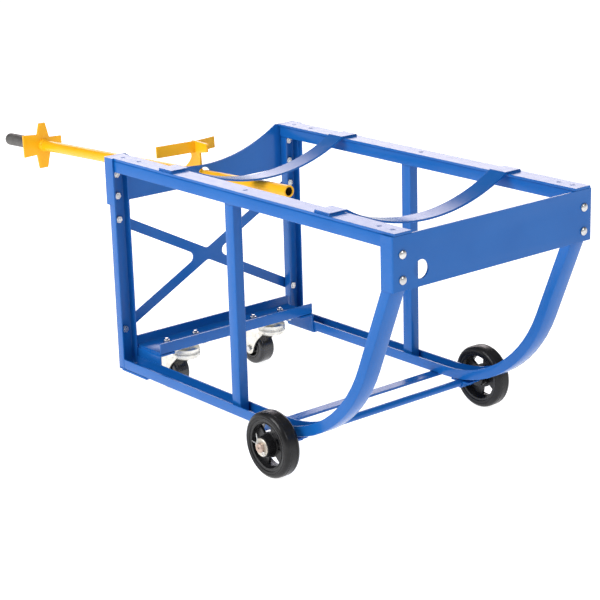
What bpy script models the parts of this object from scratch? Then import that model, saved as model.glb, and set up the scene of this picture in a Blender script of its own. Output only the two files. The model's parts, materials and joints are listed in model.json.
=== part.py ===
"""Drum dolly: a welded cradle frame on two fixed wheels and two swivel casters.

X runs from the caster end to the wheel end, Y is across, Z is up from the floor.
Lengths below are in millimetres; MM turns them into metres.
"""
import math

import bmesh
import bpy
from mathutils import Matrix, Vector

MM = 0.001
GAP = 0.3

# Frame envelope
FRAME_LENGTH = 1067.0
FRAME_WIDTH = 610.0
DECK_Z = 639.5

# End plates
PLATE_HEIGHT = 121.0
PLATE_THICKNESS = 5.0
PLATE_RETURN = 38.0
CUT_HALF_WIDTH = 243.0
CUT_DEPTH = 70.0
LEVER_HOLE_RADIUS = 21.0
LEVER_HOLE_Z = 542.0
SIDE_HOLE_Y = -224.0
SIDE_HOLE_Z = 550.0

# Rolled channel used for rails, posts and runners
CHANNEL_WIDTH = 45.0
CHANNEL_DEPTH = 26.0
CHANNEL_WALL = 4.0
RAIL_DEPTH = 29.0
BAR_WIDTH = 50.0
BAR_THICKNESS = 6.0
MID_POST_X = 490.7
MID_POST_LENGTH = 32.0
MID_POST_WIDTH = 26.5
MID_POST_WALL = 2.5

# Runner and its rocker curve
RUNNER_Z = 85.5
ROCKER_START_X = 643.0
ROCKER_RADIUS = 352.0
ROCKER_ANGLE = 68.0
KNEE_RADIUS = 60.0

# Rear cross brace
BRACE_THICKNESS = 4.0
BRACE_WIDTH = 26.0
BRACE_UPPER_Z = 475.0
BRACE_LOWER_Z = 185.0
BRACE_FILLET = 16.0

# Drum saddles
SADDLE_XS = (249.0, 830.0)
SADDLE_WIDTH = 51.0
SADDLE_THICKNESS = 5.0
SADDLE_HALF_SPAN = 246.5
SADDLE_LOW_Z = 576.0
SADDLE_END_Y = 294.0

# Caster beam and its brackets
BEAM_X = (20.0, 128.0)
BEAM_Z = 135.0
BEAM_HEIGHT = 29.0
BEAM_WALL = 5.0
BEAM_HALF_LENGTH = 250.0
BRACKET_THICKNESS = 5.0
BRACKET_TOP_LEG = 48.0

# Swivel casters
CASTER_X = 85.0
CASTER_Y = 142.0
CASTER_PLATE = (60.0, 112.0, 3.5)
CASTER_BOLTS = (38.0, 92.0)
RACE_RADIUS = 36.0
RACE_SPLIT_Z = 111.0
RACE_BOTTOM_Z = 96.0
CASTER_RADIUS = 46.0
CASTER_WIDTH = 46.0
CASTER_TRAIL = 60.0
CASTER_TURN = 3.0
LEG_THICKNESS = 4.0

# Fixed wheels and axle
WHEEL_RADIUS = 79.0
WHEEL_WIDTH = 42.0
WHEEL_FACE_Y = 359.0
HUB_FACE_Y = 368.5
HUB_RADIUS = 24.0
WASHER_RADIUS = 21.5
AXLE_X = 687.0
AXLE_RADIUS = 9.0
AXLE_HALF_LENGTH = 379.0
CROSS_BAR_X = (585.0, 613.0)
STRAP_REACH = 30.0
WINDOW_TURNS = {-1: 17.0, 1: 24.0}
COTTER_Y = HUB_FACE_Y + 6.5
COTTER_LEAN = 45.0

# Lever
LEVER_RADIUS = 15.5
LEVER_WALL = 4.5
LEVER_TILT = 2.7
LEVER_AXIS_Z = 540.3
LEVER_INNER = 355.0
LEVER_OUTER = 970.0
GRIP_START = 878.0
GRIP_END = 985.0
GRIP_RADIUS = 18.0
STAR_AT = 791.0

# Fasteners
BOLT_RADIUS = 5.0
BOLT_HEAD_RADIUS = 10.0
BOLT_HEAD_HEIGHT = 6.0
PLATE_BOLT_Y = 278.0
PLATE_BOLT_ZS = (592.0, 536.5)
BRACE_BOLT_Y = 278.0
NUT_STAND_OFF = 4.0

OUTER_Y = FRAME_WIDTH / 2 - PLATE_THICKNESS - GAP
INNER_Y = OUTER_Y - CHANNEL_WIDTH
RAIL_TOP_Z = DECK_Z - BAR_THICKNESS - GAP
RAIL_BOTTOM_Z = RAIL_TOP_Z - RAIL_DEPTH
LEVER_REACH = GRIP_END * math.cos(math.radians(LEVER_TILT))
FRONT_REACH = FRAME_LENGTH + GAP + BOLT_HEAD_HEIGHT
REAR_X = (LEVER_REACH - FRONT_REACH) / 2

for leftover in list(bpy.data.objects):
    bpy.data.objects.remove(leftover)


def paint(name, colour, metallic, roughness):
    material = bpy.data.materials.new(name)
    material.use_nodes = True
    shader = material.node_tree.nodes["Principled BSDF"]
    shader.inputs["Base Color"].default_value = (*colour, 1.0)
    shader.inputs["Metallic"].default_value = metallic
    shader.inputs["Roughness"].default_value = roughness
    return material


def blue(name):
    return paint(name, (0.035, 0.145, 0.47), 0.0, 0.3)


def yellow(name):
    return paint(name, (0.95, 0.46, 0.02), 0.0, 0.35)


def zinc(name):
    return paint(name, (0.66, 0.66, 0.62), 1.0, 0.35)


def rubber(name):
    return paint(name, (0.025, 0.025, 0.027), 0.0, 0.6)


def make(name, bm, material, origin=(0.0, 0.0, 0.0), smooth=False):
    """Turn a bmesh in millimetres about the origin point into a named object."""
    bmesh.ops.recalc_face_normals(bm, faces=bm.faces)
    bmesh.ops.scale(bm, vec=(MM, MM, MM), verts=bm.verts)
    for face in bm.faces:
        face.smooth = smooth
    if smooth:
        for edge in bm.edges:
            edge.smooth = edge.calc_face_angle(0.0) < math.radians(35.0)
    mesh = bpy.data.meshes.new(name)
    bm.to_mesh(mesh)
    bm.free()
    mesh.materials.append(material)
    thing = bpy.data.objects.new(name, mesh)
    bpy.context.scene.collection.objects.link(thing)
    thing.location = Vector(origin) * MM
    return thing


def prism(outline, lo, hi, axis):
    """Extrude a closed 2D outline along X, Y or Z.

    The outline is (y, z) for X, (x, z) for Y and (x, y) for Z.
    """
    place = {
        "X": lambda p, t: (t, p[0], p[1]),
        "Y": lambda p, t: (p[0], t, p[1]),
        "Z": lambda p, t: (p[0], p[1], t),
    }[axis]
    bm = bmesh.new()
    low = [bm.verts.new(place(p, lo)) for p in outline]
    high = [bm.verts.new(place(p, hi)) for p in outline]
    bm.faces.new(low)
    bm.faces.new(high)
    count = len(outline)
    for i in range(count):
        j = (i + 1) % count
        bm.faces.new((low[i], low[j], high[j], high[i]))
    return bm


def box(x, y, z):
    return prism([(x[0], y[0]), (x[1], y[0]), (x[1], y[1]), (x[0], y[1])], z[0], z[1], "Z")


def lathe(profile, axis, segments):
    """Revolve (radius, along) points about an axis through the origin.

    A closed loop is made when no point lies on the axis.
    """
    bm = bmesh.new()
    rings = []
    for radius, along in profile:
        if radius == 0:
            rings.append([bm.verts.new((0, 0, along))])
            continue
        ring = []
        for i in range(segments):
            turn = 2 * math.pi * i / segments
            ring.append(bm.verts.new((radius * math.cos(turn), radius * math.sin(turn), along)))
        rings.append(ring)
    closed = profile[0][0] > 0 and profile[-1][0] > 0
    pairs = list(zip(rings, rings[1:]))
    if closed:
        pairs.append((rings[-1], rings[0]))
    for first, second in pairs:
        for i in range(segments):
            j = (i + 1) % segments
            corners = [first[i % len(first)], first[j % len(first)]]
            corners += [second[j % len(second)], second[i % len(second)]]
            unique = list(dict.fromkeys(corners))
            if len(unique) > 2:
                bm.faces.new(unique)
    turn = {
        "X": Matrix.Rotation(math.radians(90), 4, "Y"),
        "Y": Matrix.Rotation(math.radians(-90), 4, "X"),
        "Z": Matrix.Identity(4),
    }[axis]
    bmesh.ops.transform(bm, matrix=turn, verts=bm.verts)
    return bm


def rod(radius, lo, hi, axis, centre=(0.0, 0.0, 0.0), segments=24):
    bm = lathe([(0, lo), (radius, lo), (radius, hi), (0, hi)], axis, segments)
    bmesh.ops.translate(bm, vec=centre, verts=bm.verts)
    return bm


def moved(bm, offset):
    bmesh.ops.translate(bm, vec=offset, verts=bm.verts)
    return bm


def turned(bm, angle, axis):
    bmesh.ops.rotate(bm, matrix=Matrix.Rotation(math.radians(angle), 3, axis), verts=bm.verts)
    return bm


def combine(base, others, operation):
    """Boolean the others into the base one at a time and hand back a new bmesh."""
    target = mesh_object(base)
    for other in others:
        tool = mesh_object(other)
        step = target.modifiers.new("step", "BOOLEAN")
        step.operation = operation
        step.solver = "EXACT"
        step.object = tool
        graph = bpy.context.evaluated_depsgraph_get()
        result = bpy.data.meshes.new_from_object(target.evaluated_get(graph))
        target.modifiers.remove(step)
        target.data = result
        bpy.data.objects.remove(tool)
    merged = bmesh.new()
    merged.from_mesh(target.data)
    bpy.data.objects.remove(target)
    return merged


def mesh_object(bm):
    bmesh.ops.recalc_face_normals(bm, faces=bm.faces)
    mesh = bpy.data.meshes.new("working")
    bm.to_mesh(mesh)
    bm.free()
    thing = bpy.data.objects.new("working", mesh)
    bpy.context.scene.collection.objects.link(thing)
    return thing


def cut(base, others):
    return combine(base, others, "DIFFERENCE")


def join(base, others):
    return combine(base, others, "UNION")


def arc(centre, radius, start, end, steps):
    """Points on a circle from one angle to another, in degrees."""
    points = []
    for i in range(steps + 1):
        turn = math.radians(start + (end - start) * i / steps)
        points.append((centre[0] + radius * math.cos(turn), centre[1] + radius * math.sin(turn)))
    return points


def rounded(corners, radii, steps=4):
    """Round the corners of a closed outline, one radius per corner."""
    points = []
    count = len(corners)
    for i, corner in enumerate(corners):
        here = Vector(corner)
        back = (Vector(corners[i - 1]) - here).normalized()
        ahead = (Vector(corners[(i + 1) % count]) - here).normalized()
        radius = radii[i]
        if radius == 0:
            points.append(tuple(here))
            continue
        half = back.angle(ahead) / 2
        reach = radius / math.tan(half)
        centre = here + (back + ahead).normalized() * (radius / math.sin(half))
        start = here + back * reach - centre
        end = here + ahead * reach - centre
        sweep = start.angle_signed(end)
        for k in range(steps + 1):
            turn = -sweep * k / steps
            points.append(tuple(centre + Matrix.Rotation(turn, 2) @ start))
    return points


def channel_section(width, depth, wall):
    """Open channel outline: web along the first axis at zero, flanges up the second."""
    inner = wall * 1.2
    corners = [
        (0, 0), (width, 0), (width, depth), (width - wall, depth),
        (width - wall, wall), (wall, wall), (wall, depth), (0, depth),
    ]
    radii = [wall * 0.8, wall * 0.8, 0, 0, inner * 0.5, inner * 0.5, 0, 0]
    return rounded(corners, radii, 2)


def plate_with_returns(top_z, facing):
    """End plate with a return down each side; facing is +1 when the returns run to +X."""
    half = FRAME_WIDTH / 2
    thick = PLATE_THICKNESS
    corners = [
        (0, -half), (PLATE_RETURN, -half), (PLATE_RETURN, thick - half), (thick, thick - half),
        (thick, half - thick), (PLATE_RETURN, half - thick), (PLATE_RETURN, half), (0, half),
    ]
    outline = rounded(corners, [4.5, 0, 0, 0, 0, 0, 0, 4.5], 4)
    if facing < 0:
        outline = [(FRAME_LENGTH - x, y) for x, y in outline]
    return prism(outline, top_z - PLATE_HEIGHT, top_z, "Z")


def bolt_holes(x, ys, zs, radius):
    reach = 8.0
    holes = []
    for y in ys:
        for z in zs:
            holes.append(rod(radius, -reach, reach, "X", (x, y, z), 12))
    return holes


def bolt(name, head_x, nut_x, y, z, outward):
    """Domed bolt along X: the head's flat face is at head_x, the nut starts at nut_x."""
    nut_height = 7.0
    span = abs(nut_x - head_x)
    profile = [
        (0, BOLT_HEAD_HEIGHT),
        (BOLT_HEAD_RADIUS * 0.7, BOLT_HEAD_HEIGHT * 0.8),
        (BOLT_HEAD_RADIUS, BOLT_HEAD_HEIGHT * 0.25),
        (BOLT_HEAD_RADIUS, 0),
        (BOLT_RADIUS, 0),
        (BOLT_RADIUS, -span),
        (BOLT_HEAD_RADIUS * 0.9, -span),
        (BOLT_HEAD_RADIUS * 0.9, -span - nut_height),
        (0, -span - nut_height),
    ]
    bm = lathe(profile, "X", 12)
    if outward < 0:
        bm = turned(bm, 180, "Z")
    make(name, bm, zinc(name), (REAR_X + head_x, y, z), True)


def side_name(side):
    return "near" if side < 0 else "far"


def build_end_plates():
    clear = BOLT_RADIUS + 0.6
    bolt_ys = (-PLATE_BOLT_Y, PLATE_BOLT_Y)
    radius = (CUT_HALF_WIDTH ** 2 + CUT_DEPTH ** 2) / (2 * CUT_DEPTH)
    half_angle = math.degrees(math.asin(CUT_HALF_WIDTH / radius))
    centre = (0.0, DECK_Z - CUT_DEPTH + radius)
    hollow = arc(centre, radius, -90 - half_angle, -90 + half_angle, 32)
    hollow = [(hollow[0][0], DECK_Z + 20)] + hollow + [(hollow[-1][0], DECK_Z + 20)]
    rear = plate_with_returns(DECK_Z, 1)
    cutters = [prism(hollow, -5, 12, "X")]
    cutters.append(rod(LEVER_HOLE_RADIUS, -5, 12, "X", (0, 0, LEVER_HOLE_Z), 40))
    cutters += bolt_holes(2, bolt_ys, PLATE_BOLT_ZS, clear)
    rear = cut(rear, cutters)
    make("rear_plate", rear, blue("rear_plate"), (REAR_X, 0, 0))
    front = plate_with_returns(RAIL_TOP_Z, -1)
    middle = FRAME_LENGTH - PLATE_THICKNESS / 2
    cutters = [rod(LEVER_HOLE_RADIUS, -8, 8, "X", (middle, SIDE_HOLE_Y, SIDE_HOLE_Z), 40)]
    cutters += bolt_holes(middle, bolt_ys, PLATE_BOLT_ZS, clear)
    front = cut(front, cutters)
    make("front_plate", front, blue("front_plate"), (REAR_X, 0, 0))


def build_rails(side):
    tag = side_name(side)
    near_edge = min(side * OUTER_Y, side * (OUTER_Y - BAR_WIDTH))
    bar_y = (near_edge, near_edge + BAR_WIDTH)
    bar_x = (PLATE_THICKNESS + GAP, FRAME_LENGTH)
    bar = box(bar_x, bar_y, (DECK_Z - BAR_THICKNESS, DECK_Z))
    make(f"top_bar_{tag}", bar, blue(f"top_bar_{tag}"), (REAR_X, 0, 0))
    start_y = min(side * OUTER_Y, side * INNER_Y)
    section = channel_section(CHANNEL_WIDTH, RAIL_DEPTH, CHANNEL_WALL)
    outline = [(start_y + y, RAIL_TOP_Z - z) for y, z in section]
    rail_end = FRAME_LENGTH - PLATE_THICKNESS - GAP
    rail = prism(outline, PLATE_THICKNESS + GAP, rail_end, "X")
    make(f"top_rail_{tag}", rail, blue(f"top_rail_{tag}"), (REAR_X, 0, 0))


def build_posts(side):
    tag = side_name(side)
    start_y = min(side * OUTER_Y, side * INNER_Y)
    web_x = PLATE_THICKNESS + GAP
    section = channel_section(CHANNEL_WIDTH, CHANNEL_DEPTH - 1, CHANNEL_WALL)
    outline = [(web_x + x, start_y + y) for y, x in section]
    post = prism(outline, RUNNER_Z, RAIL_BOTTOM_Z - GAP, "Z")
    clear = BOLT_RADIUS + 0.6
    holes = bolt_holes(web_x + 2, (side * PLATE_BOLT_Y,), PLATE_BOLT_ZS, clear)
    brace_zs = (BRACE_UPPER_Z, BRACE_LOWER_Z)
    holes += bolt_holes(web_x + 2, (side * BRACE_BOLT_Y,), brace_zs, clear)
    post = cut(post, holes)
    make(f"rear_post_{tag}", post, blue(f"rear_post_{tag}"), (REAR_X, 0, 0))
    middle_y = side * (OUTER_Y + INNER_Y) / 2
    half_x = MID_POST_LENGTH / 2
    half_y = MID_POST_WIDTH / 2
    low = RUNNER_Z + CHANNEL_WALL + GAP
    high = RAIL_TOP_Z - CHANNEL_WALL - GAP
    square = [(-half_x, -half_y), (half_x, -half_y), (half_x, half_y), (-half_x, half_y)]
    tube = prism(rounded(square, [2.5] * 4, 3), low, high, "Z")
    inner_x = half_x - MID_POST_WALL
    inner_y = half_y - MID_POST_WALL
    hollow = box((-inner_x, inner_x), (-inner_y, inner_y), (low - 5, high + 5))
    tube = moved(cut(tube, [hollow]), (MID_POST_X, middle_y, 0))
    make(f"middle_post_{tag}", tube, blue(f"middle_post_{tag}"), (REAR_X, 0, 0))


def runner_path():
    """Centre points and inward normals of the runner web's outer face, in the XZ plane."""
    centre = (ROCKER_START_X, RUNNER_Z + ROCKER_RADIUS)
    path = [((PLATE_THICKNESS + CHANNEL_DEPTH, RUNNER_Z), 90.0)]
    steps = 14
    for i in range(steps + 1):
        heading = ROCKER_ANGLE * i / steps
        turn = math.radians(heading - 90)
        x = centre[0] + ROCKER_RADIUS * math.cos(turn)
        z = centre[1] + ROCKER_RADIUS * math.sin(turn)
        path.append(((x, z), heading + 90))
    top_x = FRAME_LENGTH - PLATE_THICKNESS - GAP
    leave = math.radians(ROCKER_ANGLE)
    end_x, end_z = path[-1][0]
    run = (top_x - end_x) / math.cos(leave)
    knee = Vector((top_x, end_z + run * math.sin(leave)))
    reach = KNEE_RADIUS * math.tan(math.radians(90 - ROCKER_ANGLE) / 2)
    knee_centre = (top_x - KNEE_RADIUS, knee.y + reach)
    for i in range(4):
        heading = ROCKER_ANGLE + (90 - ROCKER_ANGLE) * i / 3
        turn = math.radians(heading - 90)
        x = knee_centre[0] + KNEE_RADIUS * math.cos(turn)
        z = knee_centre[1] + KNEE_RADIUS * math.sin(turn)
        path.append(((x, z), heading + 90))
    path.append(((top_x, RAIL_BOTTOM_Z - GAP), 180.0))
    return path


def build_runner(side):
    tag = side_name(side)
    start_y = min(side * OUTER_Y, side * INNER_Y)
    section = channel_section(CHANNEL_WIDTH, CHANNEL_DEPTH, CHANNEL_WALL)
    bm = bmesh.new()
    rings = []
    for (x, z), normal in runner_path():
        turn = math.radians(normal)
        ring = []
        for across, inward in section:
            point = (x + inward * math.cos(turn), start_y + across, z + inward * math.sin(turn))
            ring.append(bm.verts.new(point))
        rings.append(ring)
    count = len(section)
    for first, second in zip(rings, rings[1:]):
        for i in range(count):
            j = (i + 1) % count
            bm.faces.new((first[i], first[j], second[j], second[i]))
    bm.faces.new(rings[0])
    bm.faces.new(rings[-1])
    web_x = FRAME_LENGTH - PLATE_THICKNESS - GAP - CHANNEL_WALL / 2
    holes = bolt_holes(web_x, (side * PLATE_BOLT_Y,), PLATE_BOLT_ZS, BOLT_RADIUS + 0.6)
    bm = cut(bm, holes)
    make(f"base_runner_{tag}", bm, blue(f"base_runner_{tag}"), (REAR_X, 0, 0))


def build_brace():
    """Cross of two flat arms cut from one plate, filleted where they meet."""
    end_y = BRACE_BOLT_Y + 14
    middle_z = (BRACE_UPPER_Z + BRACE_LOWER_Z) / 2
    slope = math.atan2(BRACE_UPPER_Z - middle_z, BRACE_BOLT_Y)
    half = BRACE_WIDTH / 2
    tall = half / math.cos(slope)
    rise = end_y * math.tan(slope)
    waist_y = half / math.sin(slope)
    corners = [
        (-end_y, rise - tall), (-waist_y, 0), (-end_y, tall - rise), (-end_y, -tall - rise),
        (0, -tall), (end_y, -tall - rise), (end_y, tall - rise), (waist_y, 0),
        (end_y, rise - tall), (end_y, rise + tall), (0, tall), (-end_y, rise + tall),
    ]
    radii = [0, BRACE_FILLET, 0, 0, BRACE_FILLET, 0, 0, BRACE_FILLET, 0, 0, BRACE_FILLET, 0]
    outline = [(y, middle_z + z) for y, z in rounded(corners, radii, 5)]
    high_x = PLATE_THICKNESS
    plate = prism(outline, high_x - BRACE_THICKNESS, high_x, "X")
    ys = (-BRACE_BOLT_Y, BRACE_BOLT_Y)
    holes = bolt_holes(high_x, ys, (BRACE_UPPER_Z, BRACE_LOWER_Z), BOLT_RADIUS + 0.6)
    make("rear_cross_brace", cut(plate, holes), blue("rear_cross_brace"), (REAR_X, 0, 0))


def saddle_outline():
    """Strap section in (y, z): flat on both bars, hanging in an arc between them."""
    foot_z = DECK_Z + GAP
    sag = foot_z - SADDLE_LOW_Z
    radius = (SADDLE_HALF_SPAN ** 2 + sag ** 2) / (2 * sag)
    half_angle = math.degrees(math.asin(SADDLE_HALF_SPAN / radius))
    centre = (0.0, SADDLE_LOW_Z + radius)
    steps = 24
    under = arc(centre, radius, -90 - half_angle, -90 + half_angle, steps)
    over = arc(centre, radius - SADDLE_THICKNESS, -90 + half_angle, -90 - half_angle, steps)
    head_z = foot_z + SADDLE_THICKNESS
    over = [p for p in over if p[1] < head_z - 2]
    ease = 2.8
    knee = SADDLE_HALF_SPAN + ease
    under = [(-knee, foot_z)] + under[1:-1] + [(knee, foot_z)]
    outline = [(-SADDLE_END_Y, foot_z)] + under + [(SADDLE_END_Y, foot_z)]
    outline += [(SADDLE_END_Y, head_z), (knee - 6, head_z)] + over
    outline += [(6 - knee, head_z), (-SADDLE_END_Y, head_z)]
    return outline


def build_saddles():
    for name, x in zip(("drum_saddle_rear", "drum_saddle_front"), SADDLE_XS):
        strap = prism(saddle_outline(), -SADDLE_WIDTH / 2, SADDLE_WIDTH / 2, "X")
        make(name, strap, blue(name), (REAR_X + x, 0, 0), True)


def caster_bolt_points():
    points = []
    for side in (-1, 1):
        for x_sign in (-1, 1):
            for y_sign in (-1, 1):
                x = CASTER_X + x_sign * CASTER_BOLTS[0] / 2
                points.append((x, side * CASTER_Y + y_sign * CASTER_BOLTS[1] / 2))
    return points


def build_caster_beam():
    wide = BEAM_X[1] - BEAM_X[0]
    section = channel_section(wide, BEAM_HEIGHT, BEAM_WALL)
    outline = [(BEAM_X[0] + x, BEAM_Z + z) for x, z in section]
    beam = prism(outline, -BEAM_HALF_LENGTH, BEAM_HALF_LENGTH, "Y")
    holes = []
    for x, y in caster_bolt_points():
        holes.append(rod(4.8, BEAM_Z - 5, BEAM_Z + 12, "Z", (x, y, 0), 10))
    make("caster_beam", cut(beam, holes), blue("caster_beam"), (REAR_X, 0, 0))


def build_caster_bracket(side):
    tag = side_name(side)
    thick = BRACKET_THICKNESS
    wall_y = INNER_Y - GAP
    top_z = BEAM_Z - GAP
    low_z = RUNNER_Z - GAP
    corners = [
        (wall_y - BRACKET_TOP_LEG, top_z), (wall_y, top_z), (wall_y, low_z), (OUTER_Y, low_z),
        (OUTER_Y, low_z - thick), (wall_y - thick, low_z - thick), (wall_y - thick, top_z - thick),
        (wall_y - BRACKET_TOP_LEG, top_z - thick),
    ]
    outline = rounded(corners, [0, 7, 0, 0, 0, 6, 0, 0], 4)
    outline = [(side * y, z) for y, z in outline]
    bracket = prism(outline, BEAM_X[0], BEAM_X[1], "X")
    make(f"caster_bracket_{tag}", bracket, blue(f"caster_bracket_{tag}"), (REAR_X, 0, 0))


def build_caster(side):
    tag = side_name(side)
    pivot = (REAR_X + CASTER_X, side * CASTER_Y, 0.0)
    plate_top = BEAM_Z - GAP
    plate_low = plate_top - CASTER_PLATE[2]
    half_x = CASTER_PLATE[0] / 2
    half_y = CASTER_PLATE[1] / 2
    square = [(-half_x, -half_y), (half_x, -half_y), (half_x, half_y), (-half_x, half_y)]
    mount = prism(rounded(square, [8.0] * 4, 3), plate_low, plate_top, "Z")
    upper = [
        (0, plate_low + 1), (RACE_RADIUS * 0.72, plate_low + 1), (RACE_RADIUS * 0.78, plate_low - 4),
        (RACE_RADIUS, plate_low - 9), (RACE_RADIUS, RACE_SPLIT_Z), (6.5, RACE_SPLIT_Z),
        (6.5, RACE_BOTTOM_Z - 1), (0, RACE_BOTTOM_Z - 1),
    ]
    nut_z = BEAM_Z + BEAM_WALL + GAP
    pieces = [lathe(upper, "Z", 32)]
    for x_sign in (-1, 1):
        for y_sign in (-1, 1):
            stud = [
                (0, plate_low - 5), (7.0, plate_low - 5), (7.0, plate_low + 1), (4.2, plate_low + 1),
                (4.2, nut_z), (8.0, nut_z),
                (8.0, nut_z + 6.5), (4.2, nut_z + 7), (4.2, nut_z + 12), (0, nut_z + 12),
            ]
            at = (x_sign * CASTER_BOLTS[0] / 2, y_sign * CASTER_BOLTS[1] / 2, 0)
            pieces.append(moved(lathe(stud, "Z", 8), at))
    make(f"caster_mount_{tag}", join(mount, pieces), zinc(f"caster_mount_{tag}"), pivot, True)
    crown_top = RACE_SPLIT_Z - 1.2
    crown = lathe([
        (7.0, crown_top), (RACE_RADIUS, crown_top), (RACE_RADIUS, crown_top - 9),
        (RACE_RADIUS - 5, RACE_BOTTOM_Z), (7.0, RACE_BOTTOM_Z),
    ], "Z", 32)
    axle_z = CASTER_RADIUS
    foot = arc((-CASTER_TRAIL, axle_z), 16, 175, 335, 8)
    leg = [
        (-65, RACE_BOTTOM_Z + 2), (-70, RACE_BOTTOM_Z - 3), *foot, (-41, 52), (-36, 63),
        (-27, 75), (-14, 87), (-2, RACE_BOTTOM_Z + 2),
    ]
    inner = CASTER_WIDTH / 2 + 3.5
    legs = []
    for sign in (-1, 1):
        leg_y = sorted((sign * inner, sign * (inner + LEG_THICKNESS)))
        legs.append(prism(leg, leg_y[0], leg_y[1], "Y"))
    span = inner + LEG_THICKNESS
    legs.append(box((-65, -15), (-span, span), (RACE_BOTTOM_Z - 2, RACE_BOTTOM_Z + 2)))
    fork = join(crown, legs)
    pin_clear = rod(5.6, -40, 40, "Y", (-CASTER_TRAIL, 0, axle_z), 12)
    fork = turned(cut(fork, [pin_clear]), CASTER_TURN, "Z")
    make(f"caster_fork_{tag}", fork, zinc(f"caster_fork_{tag}"), pivot, True)
    swing = math.radians(CASTER_TURN)
    hub = (
        pivot[0] - CASTER_TRAIL * math.cos(swing),
        pivot[1] - CASTER_TRAIL * math.sin(swing),
        axle_z,
    )
    half = CASTER_WIDTH / 2
    rim = CASTER_RADIUS
    tread = [
        (rim * 0.6, -half), (rim * 0.86, -half), (rim * 0.97, -half * 0.72), (rim, -half * 0.3),
        (rim, half * 0.3), (rim * 0.97, half * 0.72), (rim * 0.86, half), (rim * 0.6, half),
    ]
    tyre = turned(lathe(tread, "Y", 32), CASTER_TURN, "Z")
    make(f"caster_tyre_{tag}", tyre, rubber(f"caster_tyre_{tag}"), hub, True)
    core_radius = rim * 0.6 - GAP
    core = lathe([
        (5.9, -half - 2), (11, -half - 2), (11, -half * 0.5), (core_radius - 4, -half * 0.5),
        (core_radius - 4, -half), (core_radius, -half), (core_radius, half),
        (core_radius - 4, half), (core_radius - 4, half * 0.5), (11, half * 0.5),
        (11, half + 2), (5.9, half + 2),
    ], "Y", 32)
    core = turned(core, CASTER_TURN, "Z")
    make(f"caster_core_{tag}", core, rubber(f"caster_core_{tag}"), hub, True)
    reach = inner + LEG_THICKNESS + GAP
    pin = lathe([
        (0, -reach - 5), (8, -reach - 5), (8, -reach), (5, -reach),
        (5, reach), (8, reach), (8, reach + 6), (0, reach + 6),
    ], "Y", 12)
    pin = turned(pin, CASTER_TURN, "Z")
    make(f"caster_axle_{tag}", pin, zinc(f"caster_axle_{tag}"), hub, True)


def build_axle():
    centre = (AXLE_X, 0, WHEEL_RADIUS)
    half = AXLE_HALF_LENGTH
    shaft = lathe([
        (0, -half), (AXLE_RADIUS - 1.5, -half), (AXLE_RADIUS, 1.5 - half),
        (AXLE_RADIUS, half - 1.5), (AXLE_RADIUS - 1.5, half), (0, half),
    ], "Y", 24)
    holes = [cotter_hole(side) for side in (-1, 1)]
    shaft = moved(cut(shaft, holes), centre)
    make("axle", shaft, blue("axle"), (REAR_X, 0, 0), True)
    bar = box(CROSS_BAR_X, (1 - OUTER_Y, OUTER_Y - 1), (RUNNER_Z - GAP - 6, RUNNER_Z - GAP))
    make("cross_bar", bar, blue("cross_bar"), (REAR_X, 0, 0))


def cotter_hole(side):
    bm = turned(rod(2.6, -20, 20, "Z", segments=12), -COTTER_LEAN, "Y")
    return moved(bm, (0, side * COTTER_Y, 0))


def build_axle_bracket(side):
    tag = side_name(side)
    thick = 4.0
    inner = AXLE_RADIUS + GAP
    outer = inner + thick
    top = RUNNER_Z - GAP - WHEEL_RADIUS
    low = top - thick
    bowl = [(-x, z) for x, z in arc((0, 0), inner, 0, -180, 10)]
    shell = arc((0, 0), outer, 0, -180, 10)
    outline = [(-STRAP_REACH, top), (-inner, top), *bowl, (inner, top), (STRAP_REACH, top)]
    outline += [(STRAP_REACH, low), (outer, low), *shell, (-outer, low), (-STRAP_REACH, low)]
    strap_y = sorted((side * 258.0, side * 298.0))
    strap = prism(outline, strap_y[0], strap_y[1], "Y")
    heads = []
    for sign in (-1, 1):
        at = (sign * (STRAP_REACH - 8), side * 272.0, 0)
        heads.append(rod(5.0, low - 4, low + 1, "Z", at, 6))
    bracket = moved(join(strap, heads), (AXLE_X, 0, WHEEL_RADIUS))
    make(f"axle_bracket_{tag}", bracket, blue(f"axle_bracket_{tag}"), (REAR_X, 0, 0))


def window(angle):
    """Cutter for one opening between the spokes of a wheel core."""
    spread = 23.0
    inner = arc((0, 0), 30.0, angle + spread, angle - spread, 4)
    outer = arc((0, 0), 50.0, angle - spread - 3, angle + spread + 3, 6)
    return prism(inner + outer, -40, 40, "Y")


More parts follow.
